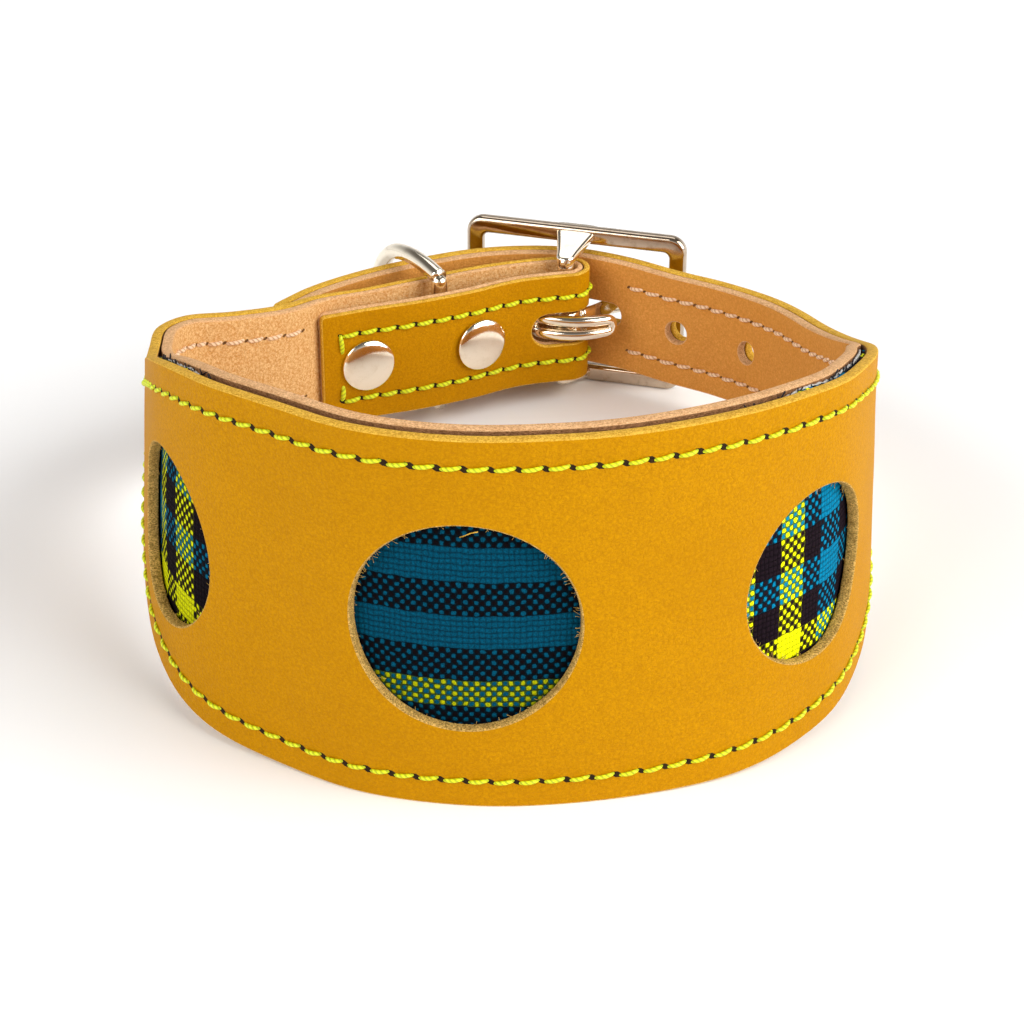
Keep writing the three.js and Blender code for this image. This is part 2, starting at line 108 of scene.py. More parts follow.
OUTER_CAP_HEIGHT = 0.9
POST_RADIUS = 1.4
CAP_CLEARANCE = 0.3
RIVET_FROM_FLAP_END = (8, 28.5)
RIVET_LAG = 1.5

FLAP_LINE = [(-38, 69.5), (-30.5, 72.9), (-22, 76.1), (-13.4, 80.2), (-5.4, 84.9)]
LEFT_LINE = [
    (-5, 94), (-14, 90.7), (-24.5, 84.8), (-32.2, 79.3), (-39.4, 74.4), (-44.8, 68.1), (-51.6, 63),
    (-58.8, 58.6), (-62.4, 51.5), (-62.5, 41.5), (-61.5, 30), (-59.7, 16.4), (-55.8, 0), (-47.9, -13.1),
    (-37.1, -21.8), (-26.5, -28),
]
FRONT_MIDDLE = (-13, -31)
RIGHT_LINE = [
    (0, -30.5), (11.7, -28), (23.3, -23.2), (31.5, -17.1), (37.9, -9.9), (42.3, 0.5), (45.3, 13.5),
    (46.8, 28.4), (46.6, 46), (43.7, 59.9), (37.9, 74), (29.9, 83.5), (21.5, 89.7), (13, 95.6), (4.2, 99.4),
    (-5, 100.4), (-14, 99.3), (-24, 95.3), (-33, 89.9), (-40.6, 83.6), (-44.8, 78.4), (-46.6, 75.8),
]

# ---- sizes of the looks ----
USED_HOLE_PULL = 0.3  # the hole in use is drawn this much longer at each end than the CAD model's
BEVEL = 0.22  # rounding of the leathers' cut edges
GUARD = 0.4  # a second loop inside the bevel keeps its rounding off the flat face
RIM_LEVELS = ((0.07, 0, 0.07), (0, 0, BEVEL), (0, 0.5, 0), (0, 1, -BEVEL), (0.07, 1, -0.07))
GROOVE_DEPTH = 0.1  # of the groove that the stitches lie in
GROOVE_WIDTH = 0.7
LINING_GROOVE = 0.6  # how deep the lining's groove is, as a share of that
PITCH = 3.35  # stitch length
FLAP_PITCH = 3.25
FLAP_THREAD_INSET = 3.4
HOLE_SLANT = 0.2  # half of how far a stitch slants across the row
PIT_SLANT = -35  # degrees
PIT_PROUD = 0.035  # how far a stitch hole's dark oval stands off the groove
STITCH_SINK = 0.3  # how deep a stitch's ends go into their holes
THREAD_RADIUS = 0.29
YARN_ALONG = 0.77  # spacing of the plaid's yarns along the strip
YARN_ACROSS = 0.83
YARN_PHASE = 11.3  # height of a border between two weft yarns, where a stripe begins
CAP_ROLL = 0.22  # rounding of a rivet cap's rim
FRAME_CORNER = 2.9
WINDOW_CORNER = 1.1
FRAME_BEVEL = 0.75
LUG_NECK = 1.62  # half the lug's width where it meets the bar
LUG_SQUARENESS = 0.45
LINK_LINE = ((-5.0, -2.8), (-3.0, -3.5), (0, -3.7), (2.8, -3.3), (5.2, -2.3), (7.2, -1.0), (8.5, 0.1))
LINK_HALF_GAP = (1.45, 0.4)  # from the link's middle to each side, and what that loses towards the prong
LINK_RADIUS = (1.17, 0.29)
EYE_RADIUS = 2.35  # middle of the wall of the band round the bar
EYE_HALF_WALL = 0.75

# ---- sizes of the studio, in metres and degrees ----
FLOOR_SIZE = 8
FLOOR_DROP = 0.00005
CAMERA_PLACE = (0.001306, -0.33147, 0.1942)
CAMERA_DOWN = 29.46
CAMERA_ROLL = 0.29

# The record's buckle hinge runs down the middle of the centre bar, which places the collar's own frame.
hinge = next(j for j in frame["record"]["behaviour"]["joints"] if j["name"] == "buckle_swing")
ORIGIN = np.array([hinge["pos_m"][0] * 1000 - BAR_CENTRE[0], hinge["pos_m"][1] * 1000 - BAR_CENTRE[1], 0])


# ---- the strip's line ----
def spline(points, count):
    """Centripetal Catmull-Rom through the points, with the same number of samples between each two."""
    points = np.array(points, float)
    before = np.vstack([2 * points[0] - points[1], points])
    knots = np.vstack([before, 2 * points[-1] - points[-2]])
    times = np.linspace(0, len(points) - 1, count)
    index = np.minimum(times.astype(int), len(points) - 2)
    share = (times - index)[:, None]
    p0, p1, p2, p3 = (knots[index + k] for k in range(4))
    d0, d1, d2 = (np.sqrt(np.linalg.norm(b - a, axis=1))[:, None] for a, b in ((p0, p1), (p1, p2), (p2, p3)))
    t1 = ((p1 - p0) / d0 - (p2 - p0) / (d0 + d1) + (p2 - p1) / d1) * d1
    t2 = ((p2 - p1) / d1 - (p3 - p1) / (d1 + d2) + (p3 - p2) / d2) * d1
    square = -3 * p1 + 3 * p2 - 2 * t1 - t2
    cube = 2 * p1 - 2 * p2 + t1 + t2
    return p1 + t1 * share + square * share**2 + cube * share**3


fold_line = [
    (BAR_CENTRE[0] + FOLD_RADIUS * math.cos(angle), BAR_CENTRE[1] + FOLD_RADIUS * math.sin(angle))
    for angle in np.radians(np.arange(-90, 91, 22.5) + FOLD_TURN)
]
line_points = [*FLAP_LINE, *fold_line, *LEFT_LINE, FRONT_MIDDLE, *RIGHT_LINE]
LINE = spline(line_points, 24001)
LENGTHS = np.r_[0, np.cumsum(np.linalg.norm(np.diff(LINE, axis=0), axis=1))]
TANGENTS = np.gradient(LINE, axis=0)
TANGENTS /= np.linalg.norm(TANGENTS, axis=1)[:, None]


def length_at_point(index):
    return np.interp(index / (len(line_points) - 1), np.linspace(0, 1, len(LINE)), LENGTHS)


# Distances along the strip, `s`, are counted from the middle of the front: negative towards the buckle.
MIDDLE = length_at_point(line_points.index(FRONT_MIDDLE))
FLAP_END = -MIDDLE
TIP = LENGTHS[-1] - MIDDLE
FOLD = length_at_point(len(FLAP_LINE) + 4) - MIDDLE
past_middle = np.where(LENGTHS > MIDDLE)[0]
USED_HOLE = (
    LENGTHS[past_middle[np.argmin(np.linalg.norm(LINE[past_middle] - USED_HOLE_PLACE, axis=1))]] - MIDDLE
)
BODY_THREAD_FROM = FOLD + 64
BOBBIN_FROM = FOLD + 60
BOBBIN_TO = USED_HOLE - 6


def ease(value, low, high):
    share = np.clip((value - low) / (high - low), 0, 1)
    return share * share * (3 - 2 * share)


def half_width(s):
    s = np.asarray(s, float)
    share = np.minimum(np.abs(s) / np.where(s < 0, TAPER_TO_BUCKLE, TAPER_TO_TIP), 1)
    full = (1 + np.cos(np.pi * share**TAPER_POWER)) / 2
    paring = (STRAP_WIDTH - TIP_WIDTH) / 2 * ease(s, TIP - 60, TIP - 30)
    return STRAP_WIDTH / 2 + (FRONT_WIDTH - STRAP_WIDTH) / 2 * full - paring


def centre_height(s):
    return FRONT_WIDTH / 2 - SAG * ease(np.abs(s), SAG_START, SAG_END)


def lean_inwards(s):
    start, full, fade, end = LEAN_SPAN
    lean = np.where(np.asarray(s) < 0, LEAN_TO_BUCKLE, LEAN_TO_TIP)
    return lean * ease(np.abs(s), start, full) * (1 - ease(np.abs(s), fade, end))


def leather_thickness(s):
    return SKIVED + (LEATHER - SKIVED) * ease(np.abs(s - FOLD), SKIVE_FULL, SKIVE_END)


def lining_depth(s):
    covered = ease(s, -CLOTH_END - CLOTH_EASE, -CLOTH_END) * (1 - ease(s, CLOTH_END, CLOTH_END + CLOTH_EASE))
    return leather_thickness(s) + GAP + (CLOTH + BACKING + 2 * GAP) * covered


def place(s, rise, out):
    """Points at distance s along the strip, `rise` above its middle line and `out` from its outer face."""
    s, rise, out = np.broadcast_arrays(*(np.asarray(a, float) for a in (s, rise, out)))
    x, y = (np.interp(s + MIDDLE, LENGTHS, LINE[:, k]) for k in (0, 1))
    along_x, along_y = (np.interp(s + MIDDLE, LENGTHS, TANGENTS[:, k]) for k in (0, 1))
    size = np.hypot(along_x, along_y)
    leant = out - lean_inwards(s) * rise
    return np.stack(
        [x + along_y / size * leant, y - along_x / size * leant, centre_height(s) + rise], axis=-1
    )


def ripple(s, rise):
    """The leather's slight unevenness, outwards, which fades out towards the narrow straps."""
    wide = ease(half_width(s), 11, 20)
    return wide * (
        0.09 * np.sin(s / 9 + rise / 17) + 0.06 * np.sin(s / 4.7 - rise / 6 + 1.3) + 0.04 * np.sin(rise / 3.1)
    )


def stations(start, end, step):
    """Distances along the strip, closer together round the fold."""
    found = [start]
    while found[-1] < end - 1e-6:
        near = abs(found[-1] - FOLD) < FOLD_RADIUS * 3
        found.append(min(found[-1] + (step / 3 if near else step), end))
    return np.array(found)


# ---- node helpers ----
def add(tree, kind, inputs=(), **settings):
    node = tree.nodes.new(kind)
    for name, value in settings.items():
        setattr(node, name, value)
    for name, value in dict(inputs).items():
        if isinstance(value, bpy.types.NodeSocket):
            tree.links.new(value, node.inputs[name])
        else:
            socket = node.inputs[name]
            socket.default_value = (*value, 1.0) if socket.type == "RGBA" else value
    return node


def calc(tree, operation, *values):
    return add(tree, "ShaderNodeMath", enumerate(values), operation=operation).outputs[0]


def noise(tree, where, size_mm, detail=3.0, roughness=0.6):
    """Noise from 0 to 1 whose features are about size_mm across, on coordinates in metres."""
    inputs = {"Vector": where, "Scale": 1000 / size_mm, "Detail": detail, "Roughness": roughness}
    return add(tree, "ShaderNodeTexNoise", inputs).outputs["Fac"]


def mix(tree, share, a, b, blend="MIX"):
    inputs = {0: share, 6: a, 7: b}
    return add(tree, "ShaderNodeMix", inputs, data_type="RGBA", blend_type=blend).outputs[2]


def between(tree, value, low, high):
    """0 below low, 1 above high, smooth between."""
    inputs = {"Value": value, "From Min": low, "From Max": high}
    return add(tree, "ShaderNodeMapRange", inputs, interpolation_type="SMOOTHSTEP").outputs[0]


def finish_of(name, **values):
    """A new Principled material, with its tree, its shader and its object coordinates."""
    material = bpy.data.materials.new(name)
    material.use_nodes = True
    tree = material.node_tree
    tree.nodes.clear()
    values = {key.replace("_", " "): value for key, value in values.items()}
    shader = add(tree, "ShaderNodeBsdfPrincipled", values)
    add(tree, "ShaderNodeOutputMaterial", {"Surface": shader.outputs[0]})
    return material, tree, shader, add(tree, "ShaderNodeTexCoord").outputs["Object"]


def strip_coordinates(tree):
    """(distance along, distance across) in millimetres, from the strip's own UV map."""
    uv = add(tree, "ShaderNodeUVMap", uv_map="strip").outputs[0]
    split = add(tree, "ShaderNodeSeparateXYZ", {0: uv})
    return split.outputs[0], split.outputs[1]


def bumped(tree, shader, *layers):
    """Bump from layers, each (height, distance in millimetres)."""
    normal = None
    for height, distance in layers:
        inputs = {"Height": height, "Distance": distance / 1000, "Strength": 1.0}
        if normal is not None:
            inputs["Normal"] = normal
        normal = add(tree, "ShaderNodeBump", inputs).outputs[0]
    tree.links.new(normal, shader.inputs["Normal"])


# ---- materials ----
def leather_face(name, dark, light, pore, roughness, grain, gloss, painted_light_colour=None):
    """A leather face: cloudy dye, fine pebbled grain with pores, faint creases, uneven polish.
    Its last argument, if given, is painted light: a paler colour on the buckle side of the front, where that
    face looks towards the lamp on the right."""
    material, tree, shader, where = finish_of(name, Specular_IOR_Level=gloss)
    cloud = between(tree, noise(tree, where, 26, 4), 0.3, 0.7)
    speck = noise(tree, where, 0.42, 5, 0.85)
    cells = add(
        tree,
        "ShaderNodeTexVoronoi",
        {"Vector": where, "Scale": 1000 / 0.75, "Randomness": 0.9},
        feature="DISTANCE_TO_EDGE",
    ).outputs["Distance"]
    furrow = between(tree, cells, 0.0, 0.16)
    crease = between(tree, noise(tree, where, 5.5, 6, 0.75), 0.33, 0.5)
    dye_and_painted_light = mix(tree, cloud, dark, light)
    if painted_light_colour is not None:
        along, _ = strip_coordinates(tree)
        # Painted light: the buckle side of the front is painted paler, where it faces the lamp on the right.
        dye_and_painted_light = mix(tree, between(tree, along, 30, -30), dye_and_painted_light, painted_light_colour)
    mottled = mix(tree, between(tree, speck, 0.3, 0.75), pore, dye_and_painted_light)
    tinted = mix(tree, calc(tree, "MULTIPLY", calc(tree, "SUBTRACT", 1.0, furrow), 0.22), mottled, pore)
    creased = mix(tree, calc(tree, "MULTIPLY", calc(tree, "SUBTRACT", 1.0, crease), 0.13), tinted, pore)
    tree.links.new(creased, shader.inputs["Base Color"])
    polish = calc(tree, "MULTIPLY_ADD", speck, 0.22, roughness - 0.11)
    tree.links.new(polish, shader.inputs["Roughness"])
    bumped(tree, shader, (furrow, 0.035 * grain), (speck, 0.06 * grain), (crease, 0.05 * grain))
    return material


def cut_edge(name, dark, light, streak_mm, height):
    """A cut leather edge: fibres in thin layers, darker in the hollows as painted shade."""
    material, tree, shader, where = finish_of(name, Roughness=0.85, Specular_IOR_Level=0.2)
    stretch = add(tree, "ShaderNodeMapping", {"Vector": where, "Scale": (1, 1, 2.2)}).outputs[0]
    fibre = noise(tree, stretch, streak_mm, 6, 0.75)
    clump = noise(tree, where, streak_mm * 4, 3)
    colour = mix(tree, between(tree, fibre, 0.35, 0.65), dark, light)
    toned = mix(tree, calc(tree, "MULTIPLY", between(tree, clump, 0.45, 0.75), 0.5), colour, dark)
    tree.links.new(toned, shader.inputs["Base Color"])
    bumped(tree, shader, (fibre, height), (clump, height))
    return material


def stripes(tree, value, start, end, bands):
    """Bands of colour along a value: (where each starts, its colour)."""
    share = add(tree, "ShaderNodeMapRange", {"Value": value, "From Min": start, "From Max": end}).outputs[0]
    ramp = add(tree, "ShaderNodeValToRGB", {0: share})
    ramp.color_ramp.interpolation = "CONSTANT"
    elements = ramp.color_ramp.elements
    elements.remove(elements[1])
    for index, (at, colour) in enumerate(bands):
        element = elements[0] if index == 0 else elements.new((at - start) / (end - start))
        element.position = (at - start) / (end - start)
        element.color = (*colour, 1.0)
    return ramp.outputs[0]


INK = (0.006, 0.003, 0.005)
BLUE = (0.0, 0.105, 0.195)
LEMON = (0.60, 0.62, 0.002)
WARP = [
    (-92, INK), (-86, BLUE), (-81, INK), (-76, LEMON), (-71, INK), (-66, BLUE), (-61.2, LEMON), (-57, INK),
    (-51.8, LEMON), (-46, INK), (-37.5, BLUE), (33, INK), (37.6, LEMON), (41.5, INK), (46.4, LEMON),
    (50.8, INK), (54.9, BLUE), (60.6, INK), (64.5, BLUE), (69.5, INK), (74, LEMON), (78.5, INK), (83, BLUE),
]
WEFT = [
    (-30, BLUE), (-25.2, INK), (-22.6, BLUE), (-17.8, INK), (-12.77, LEMON), (-8.62, INK), (-3.64, BLUE),
    (1.34, INK), (6.32, BLUE), (11.3, INK), (16.3, LEMON), (20.4, INK), (25.4, BLUE),
]


def plaid():
    """Plain weave. Warp yarns stand across the strip and weft yarns run along it, in coloured stripes."""
    material, tree, shader, where = finish_of("plaid_weave", Roughness=0.9, Specular_IOR_Level=0.05)
    op = partial(calc, tree)
    along, across = strip_coordinates(tree)
    # The cloth sags a little towards both ends of the front and lies a yarn back at its right.
    sag = op("ADD", between(tree, along, 20, 44), between(tree, along, -20, -44))
    across = op("ADD", across, sag)
    along = op("MULTIPLY_ADD", between(tree, along, 20, 40), 0.9, along)
    along = op("ADD", along, op("MULTIPLY_ADD", noise(tree, where, 1.5, 3), 0.7, -0.35))
    across = op("ADD", across, op("MULTIPLY_ADD", noise(tree, where, 1.9, 3), 0.7, -0.35))
    column = op("DIVIDE", along, YARN_ALONG)
    row = op("DIVIDE", op("SUBTRACT", across, YARN_PHASE), YARN_ACROSS)
    in_column = op("FLOOR", column)
    in_row = op("FLOOR", row)
    warp = stripes(tree, op("MULTIPLY", in_column, YARN_ALONG), -92, 92, WARP)
    weft_at = op("MULTIPLY_ADD", in_row, YARN_ACROSS, YARN_PHASE + YARN_ACROSS / 2)
    weft = stripes(tree, weft_at, -30, 30, WEFT)
    weft_over = op("FLOORED_MODULO", op("ADD", in_column, in_row), 2.0)
    # How round each yarn is within its own crossing, from 0 at the crossing's border to 1 in its middle.
    aside, up = (
        op("SUBTRACT", 1.0, op("POWER", op("MULTIPLY_ADD", cell, 2.0, -1.0), 2.0))
        for cell in (op("FRACT", column), op("FRACT", row))
    )
    dome = op("POWER", op("MULTIPLY", aside, up), 0.5)
    # Between the round faces of the yarns lies a mixture of the two that cross, darkened as painted shade.
    uneven = op("MULTIPLY_ADD", noise(tree, where, 0.5, 3, 0.7), 0.7, -0.35)
    face = between(tree, op("ADD", dome, uneven), 0.5, 0.74)
    between_yarns = mix(tree, 0.75, mix(tree, 0.5, warp, weft), mix(tree, 1.0, warp, weft, "DARKEN"))
    colour = mix(tree, face, between_yarns, mix(tree, weft_over, warp, weft))
    # Painted light and shade: the cloth is painted darkest in the middle cut-out, lighter in the one towards
    # the buckle and brightest in the one towards the tip, which faces the lamp on the right.
    painted_lighting = op("MULTIPLY_ADD", between(tree, along, 22, 46), 1.3, 0.58)
    painted_lighting = op("MULTIPLY_ADD", between(tree, along, -22, -46), 0.4, painted_lighting)
    fuzz = noise(tree, where, 0.22, 3, 0.7)
    shadow = op("MULTIPLY_ADD", op("POWER", up, 0.6), 0.5, 0.28)
    shadow = op("MULTIPLY", shadow, op("MULTIPLY_ADD", op("POWER", aside, 0.7), 0.3, 0.72))
    shadow = op("MULTIPLY", shadow, op("MULTIPLY_ADD", between(tree, fuzz, 0.3, 0.7), 0.9, 0.8))
    shadow = op("MULTIPLY", shadow, painted_lighting)
    shadow_colour = add(tree, "ShaderNodeCombineXYZ", {0: shadow, 1: shadow, 2: shadow}).outputs[0]
    tree.links.new(mix(tree, 1.0, colour, shadow_colour, "MULTIPLY"), shader.inputs["Base Color"])
    bumped(tree, shader, (dome, 0.16), (fuzz, 0.04))
    return material


def plain_weave(name, colour, hollow):
    material, tree, shader, where = finish_of(name, Roughness=0.9)
    along, across = strip_coordinates(tree)
    waves = (calc(tree, "SINE", calc(tree, "MULTIPLY", value, 9.0)) for value in (along, across))
    threads = calc(tree, "MULTIPLY", *waves)
    lifted = between(tree, calc(tree, "ADD", threads, noise(tree, where, 0.3)), -0.6, 1.4)
    # The hollows between the threads take the darker colour, as painted shade.
    tree.links.new(mix(tree, lifted, hollow, colour), shader.inputs["Base Color"])
    bumped(tree, shader, (lifted, 0.08))
    return material


def thread(name, colour, hollow, roughness):
    """Twisted thread: slanting plies with painted shade in the hollows between them, fine fuzz. The strip map
    holds (length along, share of a turn).
    """
    material, tree, shader, where = finish_of(name, Roughness=roughness, Specular_IOR_Level=0.5)
    along, turn = strip_coordinates(tree)
    twist = calc(tree, "MULTIPLY", turn, 4 * math.pi)
    ply = calc(tree, "SINE", calc(tree, "MULTIPLY_ADD", along, 9.0, twist))
    fuzz = noise(tree, where, 0.12, 3)
    raised = between(tree, calc(tree, "MULTIPLY_ADD", fuzz, 0.8, ply), -0.9, 0.9)
    tree.links.new(mix(tree, raised, hollow, colour), shader.inputs["Base Color"])
    bumped(tree, shader, (raised, 0.08), (fuzz, 0.02))
    return material


def nickel(name, light, dark):
    """Polished nickel plate: soft waviness from casting and polishing, fine scratches, dull spots."""
    material, tree, shader, where = finish_of(name, Metallic=1.0)
    wave = noise(tree, where, 7, 1)
    stretch = add(
        tree, "ShaderNodeMapping", {"Vector": where, "Rotation": (0.4, 0.7, 0.3), "Scale": (1, 40, 40)}
    ).outputs[0]
    scratch = between(tree, noise(tree, stretch, 9, 4, 0.8), 0.5, 0.8)
    spot = between(tree, noise(tree, where, 1.6, 5), 0.45, 0.8)
    tone = mix(tree, spot, light, dark)
    tree.links.new(tone, shader.inputs["Base Color"])
    dull = calc(tree, "MULTIPLY_ADD", spot, 0.1, 0.1)
    tree.links.new(calc(tree, "MULTIPLY_ADD", scratch, 0.08, dull), shader.inputs["Roughness"])
    bumped(tree, shader, (wave, 0.07), (scratch, 0.002))
    return material


MUSTARD = leather_face(
    "mustard_grain", (0.54, 0.25, 0.0), (0.61, 0.29, 0.0), (0.40, 0.165, 0.0), 0.55, 0.8, 0.05
)
MUSTARD_EDGE = cut_edge("mustard_cut_edge", (0.46, 0.22, 0.01), (0.88, 0.54, 0.07), 0.3, 0.1)
RAW_RIM = cut_edge("raw_cutout_rim", (0.19, 0.10, 0.015), (0.95, 0.59, 0.16), 0.28, 0.25)
FLESH = cut_edge("leather_flesh_side", (0.15, 0.065, 0.022), (0.50, 0.24, 0.10), 0.4, 0.25)
# The lining's buckle side is painted paler as painted light, where it faces the lamp on the right.
TAN = leather_face(
    "tan_lining", (0.74, 0.34, 0.07), (0.82, 0.40, 0.10), (0.54, 0.22, 0.04), 0.75, 1.1, 0.04,
    painted_light_colour=(0.93, 0.66, 0.33),
)
TAN_EDGE = cut_edge("tan_cut_edge", (0.52, 0.25, 0.09), (0.92, 0.58, 0.30), 0.3, 0.15)
# Painted shade: near-black and dark brown ovals stand for the shade inside the stitch holes.
PIT = cut_edge("stitch_hole", (0.008, 0.004, 0.001), (0.035, 0.016, 0.003), 0.3, 0.05)
TAN_PIT = cut_edge("lining_stitch_hole", (0.10, 0.04, 0.012), (0.2, 0.09, 0.03), 0.3, 0.05)
PLAID = plaid()
WHITE_CLOTH = plain_weave("white_backing", (0.72, 0.70, 0.66), (0.38, 0.36, 0.33))
LIME_THREAD = thread("lime_thread", (0.72, 0.82, 0.002), (0.44, 0.50, 0.001), 0.5)
CREAM_THREAD = thread("cream_thread", (0.90, 0.64, 0.42), (0.58, 0.34, 0.18), 0.8)
BLACK_YARN = thread("black_yarn", (0.02, 0.012, 0.014), (0.005, 0.003, 0.004), 0.9)
NICKEL = nickel("polished_nickel", (0.95, 0.86, 0.71), (0.85, 0.75, 0.59))
# Painted reflection: a dark brown nickel for the buckle frame's rim, standing in for the leather and dark
# surroundings that it reflects.
NICKEL_PAINTED_REFLECTION = nickel("nickel_painted_reflection", (0.58, 0.47, 0.36), (0.40, 0.30, 0.21))


# ---- mesh helpers ----
def circle(count):
    """Evenly spaced angles, once round."""
    return np.arange(count) * 2 * np.pi / count


def arc(x, y, wide, high, start, count):
    """Points on a quarter of an oval about (x, y), from `start` degrees on."""
    angles = np.radians(np.linspace(start, start + 90, count))
    return [(x + wide * math.cos(angle), y + high * math.sin(angle)) for angle in angles]


def build(name, points, faces, materials, face_materials=None, corner_map=None, point_map=None):
    """A smooth mesh object from points in millimetres in the collar's frame."""
    mesh = bpy.data.meshes.new(name)
    mesh.from_pydata(((np.asarray(points) + ORIGIN) / 1000).tolist(), [], [list(map(int, f)) for f in faces])
    for material in materials:
        mesh.materials.append(material)
    mesh.polygons.foreach_set("use_smooth", [True] * len(faces))
    if face_materials is not None:
        mesh.polygons.foreach_set("material_index", [int(m) for m in face_materials])
    if corner_map is not None or point_map is not None:
        layer = mesh.uv_layers.new(name="strip")
        if corner_map is None:
            corners = np.zeros(len(mesh.loops), np.int32)
            mesh.loops.foreach_get("vertex_index", corners)
            corner_map = np.asarray(point_map)[corners]
        layer.data.foreach_set("uv", np.asarray(corner_map, np.float32).ravel())
    mesh.update()
    made = bpy.data.objects.new(name, mesh)
    bpy.context.scene.collection.objects.link(made)
    return made


class Shape:
    """Points, faces, material numbers and map corners, gathered from several forms."""

    def __init__(self):
        self.points, self.faces, self.numbers, self.corners = [], [], [], []

    def grid(self, rows, number=0, flip=False, caps=False):
        """Joins rings of points. Map corners: (distance along, share of a turn)."""
        rows = np.asarray(rows, float)
        count, width = rows.shape[:2]
        first = sum(map(len, self.points))
        self.points.append(rows.reshape(-1, 3))
        middles = rows.mean(axis=1)
        along = np.r_[0, np.cumsum(np.linalg.norm(np.diff(middles, axis=0), axis=1))]
        for i in range(count - 1):
            for j in range(width):
                square = ((i, j), (i, j + 1), (i + 1, j + 1), (i + 1, j))
                face = [first + a * width + b % width for a, b in square]
                corners = [(along[a], b / width) for a, b in square]
                self.faces.append(face[::-1] if flip else face)
                self.corners += corners[::-1] if flip else corners
                self.numbers.append(number)
        if caps:
            for end in (0, 1):
                begin = first + end * (count - 1) * width
                face = list(range(begin, begin + width))
                self.faces.append(face[::-1] if (end == 0) != flip else face)
                self.corners += [(along[-1] * end, 0)] * width
                self.numbers.append(number)

    def tube(self, path, radii, sides=12, closed=False, number=0, flatten=None):
        """A tube along a path, with a radius at each point. `flatten` holds two half sizes of an oval
        instead: beside the path, and across that (along Z where the path lies level)."""
        path = np.asarray(path, float)
        if closed:
            tangents = np.roll(path, -1, axis=0) - np.roll(path, 1, axis=0)
        else:
            tangents = np.gradient(path, axis=0)
        tangents /= np.linalg.norm(tangents, axis=1)[:, None]
        side = np.cross(tangents[0], (0, 0, 1))
        if np.linalg.norm(side) < 0.1:
            side = np.cross(tangents[0], (1, 0, 0))
        rings = []
        for index, (point, tangent) in enumerate(zip(path, tangents)):
            side = side - tangent * np.dot(side, tangent)
            side /= np.linalg.norm(side)
            up = np.cross(side, tangent)
            turns = circle(sides)
            wide, high = flatten[index] if flatten is not None else (radii[index], radii[index])
            rings.append(
                point + np.outer(np.cos(turns) * wide, side) + np.outer(np.sin(turns) * high, up)
            )
        if closed:
            rings.append(rings[0])
        self.grid(rings, number=number, caps=not closed)

    def object(self, name, materials, turn=None):
        points = np.vstack(self.points)
        if turn is not None:
            points = turn(points)
        return build(name, points, self.faces, materials, self.numbers, corner_map=self.corners)

    def stand_for(self, node, body, slot, name, materials, turn=None):
        settle(self.object(name, materials, turn), node, body)


def settle(made, node, body):
    """The piece stands for its CAD node and rides on its body."""
    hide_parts(node)
    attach(made, body)


# ---- leather ----
def rounded_end(s, low, high, radius, towards):
    """The corner points of a strip end, from the low side to the high side."""
    wide = towards * radius
    lower = arc(s - wide, low + radius, wide, radius, -90, 5)
    return lower + arc(s - wide, high - radius, wide, radius, 0, 5)


def outline(start, end, step=1.3):
    """The strip's edge, counter-clockwise, as (s, rise)."""
    radius = 0.8  # of the corners
    list_s = stations(start + radius * 2, end - radius * 2, step)
    low = [(s, -half_width(s)) for s in list_s]
    high = [(s, half_width(s)) for s in list_s[::-1]]
    end_half, start_half = half_width(end), half_width(start)
    end_points = rounded_end(end, -end_half, end_half, radius, 1)
    rises = [(end, rise) for rise in np.linspace(-end_half + 2, end_half - 2, 9)]
    far = end_points[:5] + rises + end_points[5:]
    start_points = rounded_end(start, -start_half, start_half, radius, -1)
    near = start_points[:5] + [(start, rise) for rise in np.linspace(-start_half + 2, start_half - 2, 9)]
    near = (near + start_points[5:])[::-1]
    return np.array(low + far + high + near)


def round_hole(s, rise, radius, count):
    """A hole's edge, clockwise, so that the leather is on its left as the outline's is."""
    turns = -circle(count)
    return np.stack([s + radius * np.cos(turns), rise + radius * np.sin(turns)], axis=1)


def long_hole(s, half_length, half_height, count=14):
    straight = half_length - half_height
    turns = np.linspace(np.pi / 2, -np.pi / 2, count)
    right = np.stack([s + straight + half_height * np.cos(turns), half_height * np.sin(turns)], axis=1)
    middle = np.linspace(straight, -straight, max(int(straight * 4), 3))[1:-1]
    bottom = np.stack([s + middle, np.full(len(middle), -half_height)], axis=1)
    left = right[::-1] * (-1, 1) + (2 * s, 0)
    return np.vstack([right, bottom, left, bottom[::-1] * (1, -1)])


def shifted(loop, distance):
    """The loop moved into the leather."""
    along = np.roll(loop, -1, axis=0) - np.roll(loop, 1, axis=0)
    along /= np.linalg.norm(along, axis=1)[:, None]
    return loop + distance * np.stack([-along[:, 1], along[:, 0]], axis=1)


def inside(points, loop):
    """Which points lie within a loop, by counting crossings."""
    found = np.zeros(len(points), bool)
    for a, b in zip(loop, np.roll(loop, -1, axis=0)):
        if a[1] == b[1]:
            continue
        crosses = (a[1] > points[:, 1]) != (b[1] > points[:, 1])
        at = (b[0] - a[0]) * (points[:, 1] - a[1]) / (b[1] - a[1]) + a[0]
        found ^= crosses & (points[:, 0] < at)
    return found


ROW_DEPTHS = (1.1, 2.2, 3.2, 3.6, 4.0, 4.4, 4.9, 6.4)  # rows of points beside the edge, in from it
ROW_STEP = 1.5


